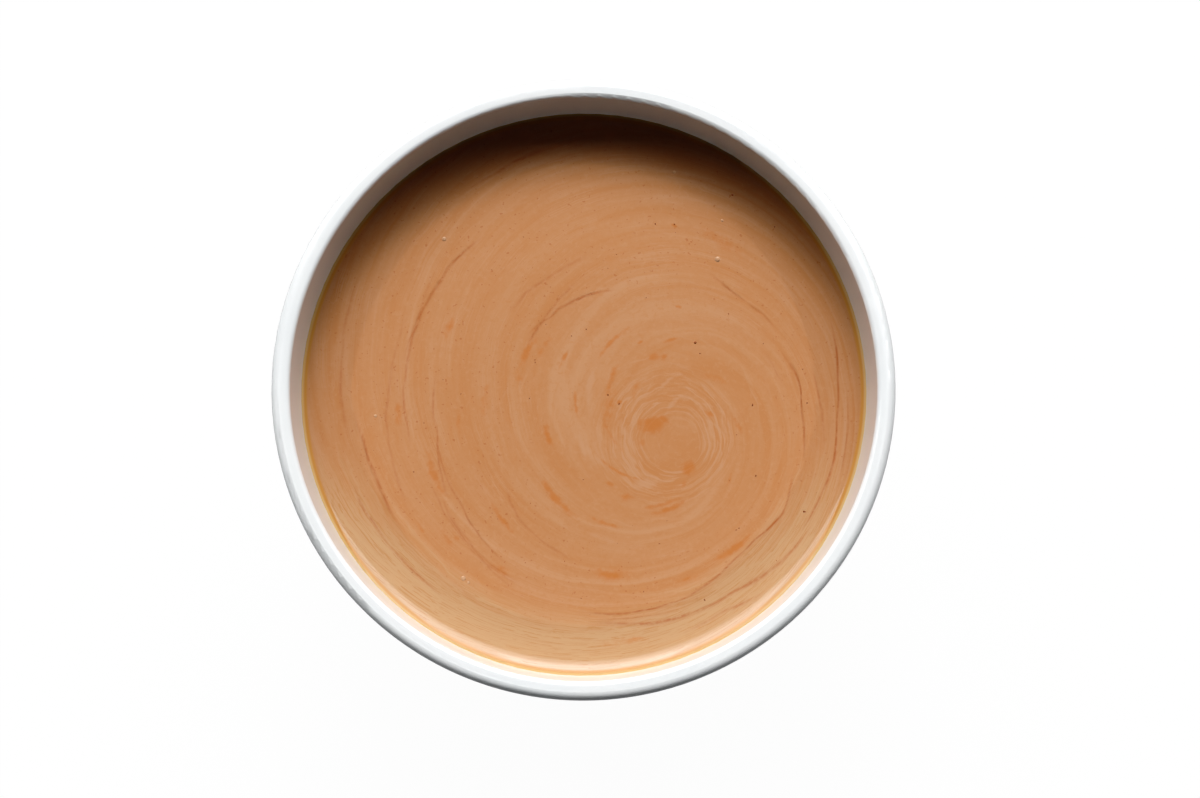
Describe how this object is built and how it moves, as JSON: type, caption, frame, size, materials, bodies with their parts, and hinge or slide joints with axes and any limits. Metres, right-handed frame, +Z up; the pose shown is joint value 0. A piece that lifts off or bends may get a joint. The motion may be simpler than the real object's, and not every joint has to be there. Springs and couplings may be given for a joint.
{
  "type": "masala chai",
  "caption": "Plain white round porcelain cup on a foot ring, filled nearly to the brim with milky spiced tea.",
  "frame": {"origin": "centre of the foot ring, on the table it stands on", "axes": "+Z up along the cup's axis of turning; X and Y are level and alike, because the part is round"},
  "size_m": [0.104, 0.104, 0.066],
  "materials": {
    "porcelain": "gloss",
    "milk_tea": "gloss"
  },
  "bodies": {
    "root": {"cup": "porcelain", "chai": "milk_tea"}
  },
  "joints": []
}
